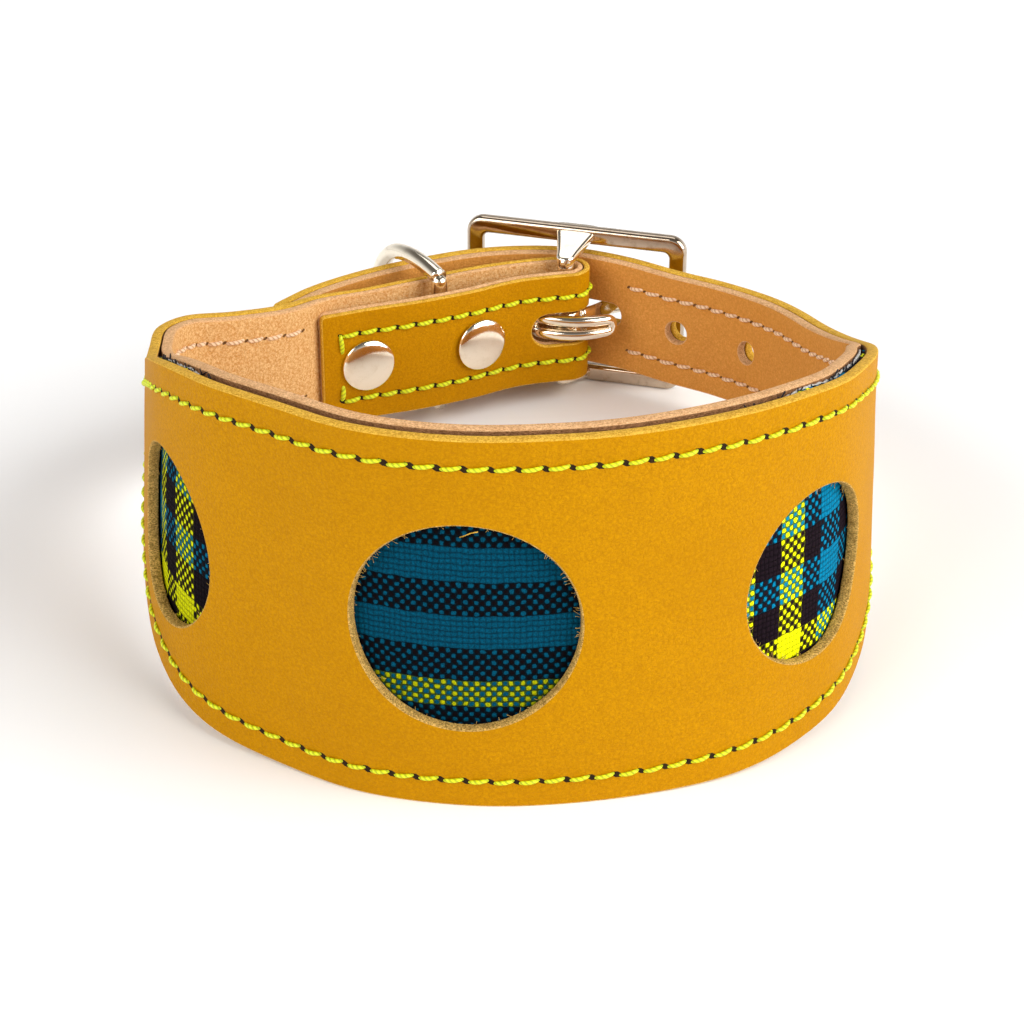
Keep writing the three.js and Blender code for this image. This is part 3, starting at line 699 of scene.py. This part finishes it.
def leather(name, loops, rim_numbers, depth_of, materials, faces_numbers, pits):
    """One cut leather with rounded rims. loops[0] is its outline and the others are its holes.
    faces_numbers are the materials of its outward and its inward face."""
    at_bevel = [shifted(loop, BEVEL) for loop in loops]
    at_guard = [shifted(loop, BEVEL + GUARD) for loop in loops]
    rows = []
    for s in stations(FLAP_END + 1.6, TIP - 1.6, ROW_STEP):
        half = half_width(s)
        depths = [d for d in ROW_DEPTHS if d < half - 1]
        inner = half - depths[-1]
        fill = np.linspace(-inner, inner, max(int(2 * inner / 3), 1) + 2)
        rises = np.unique(np.r_[[half - d for d in depths], [d - half for d in depths], fill])
        rows.append(np.stack([np.full(len(rises), s), rises], axis=1))
    rows = np.vstack(rows)
    for guard in at_guard[1:]:
        clear = shifted(guard, 0.4)
        rows = rows[~inside(rows, clear)]
    rings = at_bevel + at_guard
    flat = np.vstack([*rings, rows])
    edges = []
    first = 0
    starts = []
    for ring in rings:
        starts.append(first)
        edges += [(first + i, first + (i + 1) % len(ring)) for i in range(len(ring))]
        first += len(ring)
    made = delaunay_2d_cdt([Vector(p) for p in flat.tolist()], edges, [], 0, 1e-7)
    plane = np.array([tuple(p) for p in made[0]])
    faces = np.array([tuple(f) for f in made[2]])
    middles = plane[faces].mean(axis=1)
    kept = inside(middles, at_bevel[0])
    for ring in at_bevel[1:]:
        kept &= ~inside(middles, ring)
    faces = faces[kept]
    areas = np.cross(plane[faces[:, 1]] - plane[faces[:, 0]], plane[faces[:, 2]] - plane[faces[:, 0]])
    faces[areas < 0] = faces[areas < 0][:, ::-1]
    became = {old: index for index, olds in enumerate(made[3]) for old in olds}

    s, rise = plane.T
    uneven = ripple(s, rise)
    from_edge = half_width(s) - np.abs(rise)
    groove = GROOVE_DEPTH * np.exp(-(((from_edge - STITCH_INSET) / GROOVE_WIDTH) ** 2))
    outer = place(s, rise, -depth_of(s) + uneven - groove)
    inner = place(s, rise, -depth_of(s) - leather_thickness(s) + uneven + groove * LINING_GROOVE)
    points = [outer, inner]
    maps = [plane, plane]
    count = len(plane)
    polygons = [*faces.tolist(), *(faces[:, ::-1] + count).tolist()]
    numbers = [faces_numbers[0]] * len(faces) + [faces_numbers[1]] * len(faces)
    total = 2 * count
    for loop, ring, start, number in zip(loops, at_bevel, starts, rim_numbers):
        front = [became[start + i] for i in range(len(ring))]
        levels = [front]
        # Down the cut edge, each level set in from the loop, at a share of the thickness and a fixed depth.
        for inset, share, fixed in RIM_LEVELS:
            edge = shifted(loop, inset)
            deep = leather_thickness(edge[:, 0]) * share + fixed
            points.append(place(edge[:, 0], edge[:, 1], ripple(*edge.T) - depth_of(edge[:, 0]) - deep))
            maps.append(edge)
            levels.append(list(range(total, total + len(edge))))
            total += len(edge)
        levels.append([index + count for index in front])
        for upper, lower in zip(levels, levels[1:]):
            for i in range(len(ring)):
                k = (i + 1) % len(ring)
                polygons.append([upper[i], lower[i], lower[k], upper[k]])
                numbers.append(number)
    for corners in pits:
        points.append(corners)
        maps.append(np.zeros((len(corners), 2)))
        polygons.append(list(range(total, total + len(corners))))
        numbers.append(len(materials) - 1)
        total += len(corners)
    return build(name, np.vstack(points), polygons, materials, numbers, point_map=np.vstack(maps))


def row_marks(start, end, pitch=PITCH):
    """Where the stitch holes of a row are, with whole stitches that fill the span."""
    return np.linspace(start, end, int(round((end - start) / pitch)) + 1)


def pits_of(marks, side, out_of, outwards, long=0.74, wide=0.42):
    """The stitch holes as thin slanted dark ovals of painted shade, just proud of the leather's groove."""
    found = []
    groove = GROOVE_DEPTH * (1 if outwards > 0 else LINING_GROOVE)
    turns = circle(10) * outwards
    for s in marks:
        jitter = random.uniform(0.85, 1.15)
        a = long * jitter * np.cos(turns)
        b = wide * jitter * np.sin(turns)
        slant = math.radians(PIT_SLANT)
        ds = a * math.cos(slant) - b * math.sin(slant)
        dr = a * math.sin(slant) + b * math.cos(slant)
        middle = side * (half_width(s) - STITCH_INSET)
        at = s + ds
        rise = middle + dr
        out = out_of(at) + ripple(at, rise) - outwards * groove + outwards * PIT_PROUD
        found.append(place(at, rise, out))
    return found


def needle_face(s):
    return np.zeros_like(s)


def lining_face(s):
    return -lining_depth(s) - leather_thickness(s)


body_marks = row_marks(BODY_THREAD_FROM, TIP - STITCH_INSET)
flap_marks = row_marks(FLAP_END + FLAP_THREAD_INSET, FOLD + 5, FLAP_PITCH)
bobbin_marks = row_marks(BOBBIN_FROM, BOBBIN_TO)

punched = [round_hole(USED_HOLE + n * PUNCH_PITCH, 0, PUNCH_RADIUS, 28) for n in PUNCHES_FROM_USED]
openings = [
    long_hole(FOLD, SLOT_HALF_LENGTH, SLOT_WIDTH / 2),
    long_hole(USED_HOLE, USED_HOLE_LENGTH / 2 + USED_HOLE_PULL, PUNCH_RADIUS + 0.1),
    *punched,
]
cutouts = [round_hole(s, rise, radius, 96) for s, rise, radius in CUTOUTS]
strip = outline(FLAP_END, TIP)

outer_pits = [
    pit
    for marks in (body_marks, flap_marks)
    for side in (1, -1)
    for pit in pits_of(marks, side, needle_face, 1)
]
outer = leather(
    "outer_leather_look",
    [strip, *openings, *cutouts],
    [1] * (1 + len(openings)) + [2] * len(cutouts),
    needle_face,
    [MUSTARD, MUSTARD_EDGE, RAW_RIM, FLESH, PIT],
    (0, 3),
    outer_pits,
)
settle(outer, "outer_leather", "strap")

lining_pits = [
    pit for side in (1, -1) for pit in pits_of(bobbin_marks, side, lining_face, -1, long=0.4, wide=0.22)
]
lining = leather(
    "lining_leather_look",
    [strip, *openings],
    [1] * (1 + len(openings)),
    lining_depth,
    [TAN, TAN_EDGE, FLESH, TAN_PIT],
    (2, 0),
    lining_pits,
)
settle(lining, "lining_leather", "strap")


# ---- cloth ----
def cloth_inset(s):
    """The cloth shows at the edge near the front's two corners and lies further in elsewhere."""
    return CLOTH_INSET + 1.3 * (1 - ease(np.abs(s), 40, 50))


def cloth(name, node, depth, thick, material, swell):
    """A cloth sheet between the leathers. It swells out a little in the cut-outs."""
    list_s = stations(-CLOTH_END, CLOTH_END, 1.0)
    shares = np.linspace(-1, 1, 61)
    s, share = np.meshgrid(list_s, shares, indexing="ij")
    rise = share * (half_width(s) - cloth_inset(s))
    lift = np.zeros_like(s)
    for at, middle, radius in CUTOUTS:
        lift += swell * (1 - ease(np.hypot(s - at, rise - middle), radius * 0.35, radius - 0.3))
    fray = 0.25 * np.sin(s * 5.1) * np.sin(s * 1.7 + 2) * (np.abs(share) == 1)
    front = place(s, rise + fray, -depth + lift + ripple(s, rise))
    back = place(s, rise + fray, -depth - thick + lift + ripple(s, rise))
    rows, columns = s.shape
    number = np.arange(rows * columns).reshape(rows, columns)
    corners = [number[:-1, :-1], number[1:, :-1], number[1:, 1:], number[:-1, 1:]]
    quads = np.stack(corners, axis=-1).reshape(-1, 4)
    border = np.r_[number[:, 0], number[-1, 1:], number[::-1, -1][1:], number[0, ::-1][1:-1]]
    total = rows * columns
    rim = [[a, a + total, b + total, b] for a, b in zip(border, np.roll(border, -1))]
    faces = [*quads.tolist(), *(quads[:, ::-1] + total).tolist(), *rim]
    points = np.vstack([front.reshape(-1, 3), back.reshape(-1, 3)])
    flat = np.stack([s.ravel(), rise.ravel()], axis=1)
    made = build(name, points, faces, [material], point_map=np.vstack([flat, flat]))
    settle(made, node, "strap")


CLOTH_DEPTH = LEATHER + GAP
BACKING_DEPTH = CLOTH_DEPTH + CLOTH + GAP
cloth("plaid_cloth", "plaid_fabric", CLOTH_DEPTH, CLOTH, PLAID, 0.25)
cloth("backing_cloth", "fabric_backing", BACKING_DEPTH, BACKING, WHITE_CLOTH, 0.2)


# ---- stitches ----
def stitch(shape, start, end, out, radius):
    """One stitch from hole to hole. start and end are (s, rise); out is (the leather's face, 1 or -1 for its
    outward side)."""
    share = np.linspace(0, 1, 10)
    s = start[0] + (end[0] - start[0]) * share
    rise = start[1] + (end[1] - start[1]) * share
    arch = np.sin(np.pi * share) ** 0.55
    face, outwards = out
    lift = outwards * (-STITCH_SINK + (STITCH_SINK + radius * 0.55) * arch)
    path = place(s, rise, face(s) + ripple(s, rise) + lift)
    swell = radius * (0.8 + 0.25 * np.sin(np.pi * share))
    shape.tube(path, swell, sides=8)


def stitch_row(shape, marks, side, out, radius, slant):
    for a, b in zip(marks, marks[1:]):
        wobble = random.uniform(-0.06, 0.06)
        start = (a + 0.42, side * (half_width(a) - STITCH_INSET) - slant + wobble)
        end = (b - 0.32, side * (half_width(b) - STITCH_INSET) + slant + wobble)
        stitch(shape, start, end, out, radius)


def cross_row(shape, s, rises, out, radius):
    for a, b in zip(rises, rises[1:]):
        stitch(shape, (s - 0.12, a + 0.2), (s + 0.12, b - 0.2), out, radius)


on_needle_face = (needle_face, 1)
on_lining = (lining_face, -1)
body_stitches = Shape()
for side in (1, -1):
    stitch_row(body_stitches, body_marks, side, on_needle_face, THREAD_RADIUS, HOLE_SLANT)
tip_rise = float(half_width(TIP - STITCH_INSET) - STITCH_INSET)
tip_rises = np.linspace(-tip_rise, tip_rise, 5)
cross_row(body_stitches, TIP - STITCH_INSET, tip_rises, on_needle_face, THREAD_RADIUS)
body_stitches.stand_for("body_needle_thread", "strap", "needle_thread", "body_stitches", [LIME_THREAD])

for side, word in ((1, "upper"), (-1, "lower")):
    flap = Shape()
    stitch_row(flap, flap_marks, side, on_needle_face, THREAD_RADIUS * 1.3, HOLE_SLANT * 0.6)
    flap_rise = side * (STRAP_WIDTH / 2 - STITCH_INSET)
    turned_in = [flap_rise, flap_rise - side * 3.0]
    cross_row(flap, FLAP_END + FLAP_THREAD_INSET, turned_in, on_needle_face, THREAD_RADIUS * 1.35)
    flap.stand_for(f"flap_thread_{word}", "strap", "needle_thread", f"flap_stitches_{word}", [LIME_THREAD])
    bobbin = Shape()
    stitch_row(bobbin, bobbin_marks, side, on_lining, THREAD_RADIUS * 1.15, -HOLE_SLANT * 0.8)
    name = f"bobbin_stitches_{word}"
    bobbin.stand_for(f"bobbin_thread_{word}", "strap", "bobbin_thread", name, [CREAM_THREAD])


# ---- loose fibres ----
def hair(shape, path, radius, number=0):
    shape.tube(path, np.full(len(path), radius), sides=4, number=number)


fibres = Shape()
for at, middle, radius in CUTOUTS:
    for _ in range(110):
        turn = random.uniform(0, 2 * math.pi)
        depth = random.uniform(0.2, 1.5)
        reach = random.uniform(0.25, 1.0)
        drift = random.uniform(-0.9, 0.9)
        steps = np.linspace(0, 1, 5)
        distance = radius + 0.05 - reach * steps
        angle = turn + drift * steps * reach / radius
        s = at + distance * np.cos(angle)
        rise = middle + distance * np.sin(angle)
        hair(fibres, place(s, rise, -depth + 0.35 * steps**2 * random.uniform(-1, 1)), 0.035)
hair(fibres, place([-0.2, 0.5, 1.3, 2.2], [13.3, 13.9, 14.5, 14.75], [-0.9, -0.3, 0.05, 0.1]), 0.07, 1)
fibre_look = fibres.object("cutout_fibres", [RAW_RIM, MUSTARD_EDGE])
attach(fibre_look, "strap")

# Yarn ends that stick out between the leathers along the top of the front's two corners.
yarn_ends = Shape()
for centre in (-58, 56):
    for _ in range(46):
        s = centre + random.uniform(-17, 17)
        half = float(half_width(s))
        depth = CLOTH_DEPTH + random.uniform(0, 0.8)
        steps = np.linspace(0, 1, 5)
        tilt = random.uniform(-1.6, 1.6)
        height = random.uniform(0.2, 0.9)
        rise = half - 0.9 + height * 1.2 * steps
        path = place(s + tilt * steps**1.5, rise, -depth + random.uniform(-0.3, 0.3) * steps)
        hair(yarn_ends, path, random.uniform(0.07, 0.13))
yarn_look = yarn_ends.object("plaid_yarn_ends", [BLACK_YARN])
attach(yarn_look, "strap")


# ---- rivets ----
def lathe(shape, profile, start, facing, sides=48):
    """Turns a profile of (radius, height) about an axis that leaves `start` along `facing`."""
    facing = np.asarray(facing) / np.linalg.norm(facing)
    side = np.cross(facing, (0, 0, 1))
    side /= np.linalg.norm(side)
    up = np.cross(facing, side)
    spokes = np.outer(np.cos(circle(sides)), side) + np.outer(np.sin(circle(sides)), up)
    rings = [start + spokes * max(radius, 0.01) + facing * height for radius, height in profile]
    shape.grid(rings, flip=True)


def cap_profile(height):
    """A domed cap with a rolled rim, from its underside's middle to its top's."""
    edge = arc(CAP_RADIUS - CAP_ROLL, CAP_ROLL, CAP_ROLL, CAP_ROLL, -90, 5)
    dome = []
    foot = CAP_RIM * 0.7
    for angle in np.linspace(0, np.pi / 2, 18)[:-1]:
        radius = CAP_RADIUS * math.cos(angle) ** 0.85
        dome.append((radius, foot + (height - foot) * math.sin(angle) ** 1.1))
    return [(0, 0), (CAP_RADIUS - 0.5, 0), *edge, *dome, (0, height)]


for distance, word in zip(RIVET_FROM_FLAP_END, ("flap_end", "buckle_end")):
    near_at = FLAP_END + distance
    far_at = 2 * FOLD - near_at + RIVET_LAG
    near, far = place([near_at, far_at], 0, 0)
    near_facing, far_facing = place([near_at, far_at], 0, 1) - (near, far)
    cap = Shape()
    lathe(cap, cap_profile(INNER_CAP_HEIGHT), near + near_facing * CAP_CLEARANCE * 0.3, near_facing)
    cap.stand_for(f"rivet_cap_{word}", "strap", "nickel", f"rivet_cap_{word}_look", [NICKEL])
    post = Shape()
    lathe(post, cap_profile(OUTER_CAP_HEIGHT), far + far_facing * CAP_CLEARANCE, far_facing)
    post.tube(np.linspace(near, far, 6), np.full(6, POST_RADIUS), sides=24)
    post.stand_for(f"rivet_post_{word}", "strap", "nickel", f"rivet_post_{word}_look", [NICKEL])


# ---- buckle ----
def turned(centre, degrees):
    """From a fitting's own frame to the collar's: X along the strap, Y outwards, Z up."""
    cosine, sine = math.cos(math.radians(degrees)), math.sin(math.radians(degrees))
    turn = np.array([[cosine, sine, 0], [-sine, cosine, 0], [0, 0, 1]])
    return lambda points: points @ turn + (centre[0], centre[1], float(centre_height(FOLD)))


def rounded_rectangle(length, height, radius, corner_steps=8):
    points = []
    for corner, (x, z) in enumerate(((1, 1), (-1, 1), (-1, -1), (1, -1))):
        middle = (x * (length / 2 - radius), z * (height / 2 - radius))
        points += arc(*middle, radius, radius, corner * 90, corner_steps)
    return np.array(points)


def rounded_section(bevel, steps=4):
    """Shares (across the wall, through the depth) round a section with rounded corners."""
    wide, high = bevel / FRAME_WALL, bevel / FRAME_DEPTH
    section = []
    for corner, (a, b) in enumerate(((1, 1), (0, 1), (0, 0), (1, 0))):
        middle = (1 - wide if a else wide, 1 - high if b else high)
        section += arc(*middle, wide, high, corner * 90, steps + 1)
    return section


frame_look = Shape()
outside = rounded_rectangle(FRAME_LENGTH, FRAME_HEIGHT, FRAME_CORNER)
window = rounded_rectangle(FRAME_LENGTH - 2 * FRAME_WALL, FRAME_HEIGHT - 2 * FRAME_WALL, WINDOW_CORNER)
section = rounded_section(FRAME_BEVEL)
rings = []
for out_point, in_point in zip(outside, window):
    ring = []
    for across, through in section:
        x, z = in_point + (out_point - in_point) * across
        ring.append((x, FRAME_OFFSET + FRAME_DEPTH * through, z))
    rings.append(ring)
rings.append(rings[0])
# The frame's rim takes the second material, the nickel with the painted reflection.
frame_look.grid(rings, flip=True, number=1)

LUG_REACH = FRAME_OFFSET + FRAME_DEPTH
for side in (1, -1):
    plates = []
    for y in np.r_[np.linspace(-1.5, 0, 5), np.linspace(0.6, LUG_REACH - 0.15, 12)]:
        if y < 0:
            half = math.sqrt(max(LUG_NECK**2 - y * y, 0.25))
        else:
            half = LUG_NECK + (LUG_WIDTH / 2 - LUG_NECK) * (y / LUG_REACH) ** 1.15
        height = LUG_HEIGHT + LUG_THICKNESS / 2 + LUG_RISE * y / LUG_REACH
        ring = []
        for turn in circle(28):
            x = half * math.copysign(abs(math.cos(turn)) ** LUG_SQUARENESS, math.cos(turn))
            z = LUG_THICKNESS / 2 * math.copysign(abs(math.sin(turn)) ** LUG_SQUARENESS, math.sin(turn))
            ring.append((x, y, side * height + z))
        plates.append(ring)
    frame_look.grid(plates, caps=True, flip=True)
bar_half = LUG_HEIGHT + LUG_THICKNESS - 0.3
frame_look.tube([(0, 0, z) for z in np.linspace(-bar_half, bar_half, 9)], np.full(9, BAR_RADIUS), sides=32)
on_bar = turned(BAR_CENTRE, FRAME_TURN)
frame_look.stand_for("buckle_frame", "buckle", "nickel", "buckle_frame_look", [NICKEL, NICKEL_PAINTED_REFLECTION], on_bar)

# The tongue is bent from one rod. Round the bar its two sides lie one above the other, as a long link with
# round ends, over a band that closes round the bar.
tongue = Shape()
link = spline([(x, y, 0) for x, y in LINK_LINE], 41)
link_share = np.linspace(0, 1, len(link))
round_ends = np.sqrt(np.clip(1 - np.abs(2 * link_share - 1) ** 14, 0, 1))
apart = (LINK_HALF_GAP[0] - LINK_HALF_GAP[1] * link_share) * round_ends
link_half = link + np.outer(apart, (0, 0, 1))
link_path = np.vstack([link_half, (link_half * (1, 1, -1))[-2:0:-1]])
link_radius = LINK_RADIUS[0] - LINK_RADIUS[1] * link_share
tongue.tube(link_path, np.r_[link_radius, link_radius[-2:0:-1]], sides=18, closed=True)
eye_rows = []
for turn in np.radians(np.arange(0, 361, 10)):
    ring = []
    for angle in np.radians(np.arange(0, 360, 15)):
        radius = EYE_RADIUS + EYE_HALF_WALL * math.copysign(abs(math.cos(angle)) ** 0.6, math.cos(angle))
        ring.append((radius * math.cos(turn), radius * math.sin(turn), EYE_WIDTH / 2 * math.sin(angle)))
    eye_rows.append(ring)
tongue.grid(eye_rows)
shaft = spline([(x, y, 0) for x, y in TONGUE_LINE], 40)
share = np.linspace(0, 1, len(shaft))
thin = TONGUE_THICKNESS / 2 * (1 - 0.55 * ease(share, 0.7, 1))
broad = TONGUE_WIDTH / 2 * (1 - 0.3 * ease(share, 0.75, 1))
tongue.tube(shaft, None, sides=24, flatten=np.stack([thin, broad], axis=1))
tongue.stand_for("buckle_tongue", "tongue", "nickel", "buckle_tongue_look", [NICKEL], on_bar)

# ---- D-ring ----
ring = Shape()
upper = [(0, y * D_REACH, z * D_BAR_HALF) for y, z in D_HALF_BOW]
lower = [(0, y, -z) for _, y, z in upper]
bow = spline([*lower, (0, D_REACH, 0), *upper[::-1]], 96)
ring.tube(bow, np.full(96, D_WIRE), sides=20)
bar_end = D_BAR_HALF + 0.4
heights = bar_end * np.sin(np.linspace(-np.pi / 2, np.pi / 2, 25))
rounding = D_WIRE * np.sqrt(np.clip(1 - (np.abs(heights) / bar_end) ** 24, 0.02, 1))
ring.tube([(0, 0, z) for z in heights], rounding, sides=20)
ring.stand_for("d_ring", "ring", "nickel", "d_ring_look", [NICKEL], turned(D_BAR_CENTRE, D_TURN))


# ---- stage, light and camera ----
floor_material, tree, shader, where = finish_of("pale_floor", Roughness=0.9, Specular_IOR_Level=0.1)
tree.links.new(
    mix(tree, noise(tree, where, 900, 2), (0.97, 0.97, 0.975), (0.985, 0.985, 0.985)),
    shader.inputs["Base Color"],
)
bpy.ops.mesh.primitive_plane_add(size=FLOOR_SIZE, location=(0, 0, -FLOOR_DROP))
floor = bpy.context.object
floor.name = "studio_floor"
floor.data.materials.append(floor_material)

world = bpy.data.worlds.new("studio")
world.use_nodes = True
sky = world.node_tree
facing = add(sky, "ShaderNodeTexCoord").outputs["Generated"]
height = add(sky, "ShaderNodeSeparateXYZ", {0: facing}).outputs[2]
glow = mix(sky, between(sky, height, 0.05, 0.7), (1.0, 1.0, 1.0), (0.14, 0.13, 0.12))
sky.links.new(glow, sky.nodes["Background"].inputs[0])
sky.nodes["Background"].inputs[1].default_value = 0.95
bpy.context.scene.world = world


def softbox(name, place_at, target, width, height, watts, colour):
    light = bpy.data.lights.new(name, "AREA")
    light.shape = "RECTANGLE"
    light.size = width
    light.size_y = height
    light.energy = watts
    light.color = colour
    made = bpy.data.objects.new(name, light)
    made.location = place_at
    made.rotation_euler = (Vector(target) - Vector(place_at)).to_track_quat("-Z", "Y").to_euler()
    bpy.context.scene.collection.objects.link(made)


softbox("back_softbox", (0.05, 0.75, 1.25), (0, 0, 0.02), 0.9, 0.9, 3.5, (1, 1, 1))
softbox("right_softbox", (1.3, -0.6, 0.9), (0, 0, 0.03), 1.6, 1.4, 37, (1, 1, 0.99))
softbox("left_softbox", (-1.2, -0.9, 0.9), (0, 0, 0.03), 1.5, 1.2, 20, (1, 1, 1))

camera_data = bpy.data.cameras.new("camera")
camera_data.sensor_width = 36
camera_data.lens = 86.07
camera_data.clip_start = 0.01
camera = bpy.data.objects.new("camera", camera_data)
elevation = math.radians(CAMERA_DOWN)
roll = math.radians(CAMERA_ROLL)
ahead = Vector((0, math.cos(elevation), -math.sin(elevation)))
level_up = Vector((0, math.sin(elevation), math.cos(elevation)))
level_right = Vector((1, 0, 0))
right = math.cos(roll) * level_right + math.sin(roll) * level_up
above = math.cos(roll) * level_up - math.sin(roll) * level_right
axes = Matrix((right, above, -ahead)).transposed().to_4x4()
camera.matrix_world = Matrix.Translation(CAMERA_PLACE) @ axes
bpy.context.scene.collection.objects.link(camera)
bpy.context.scene.camera = camera
bpy.context.scene.view_settings.view_transform = "Standard"
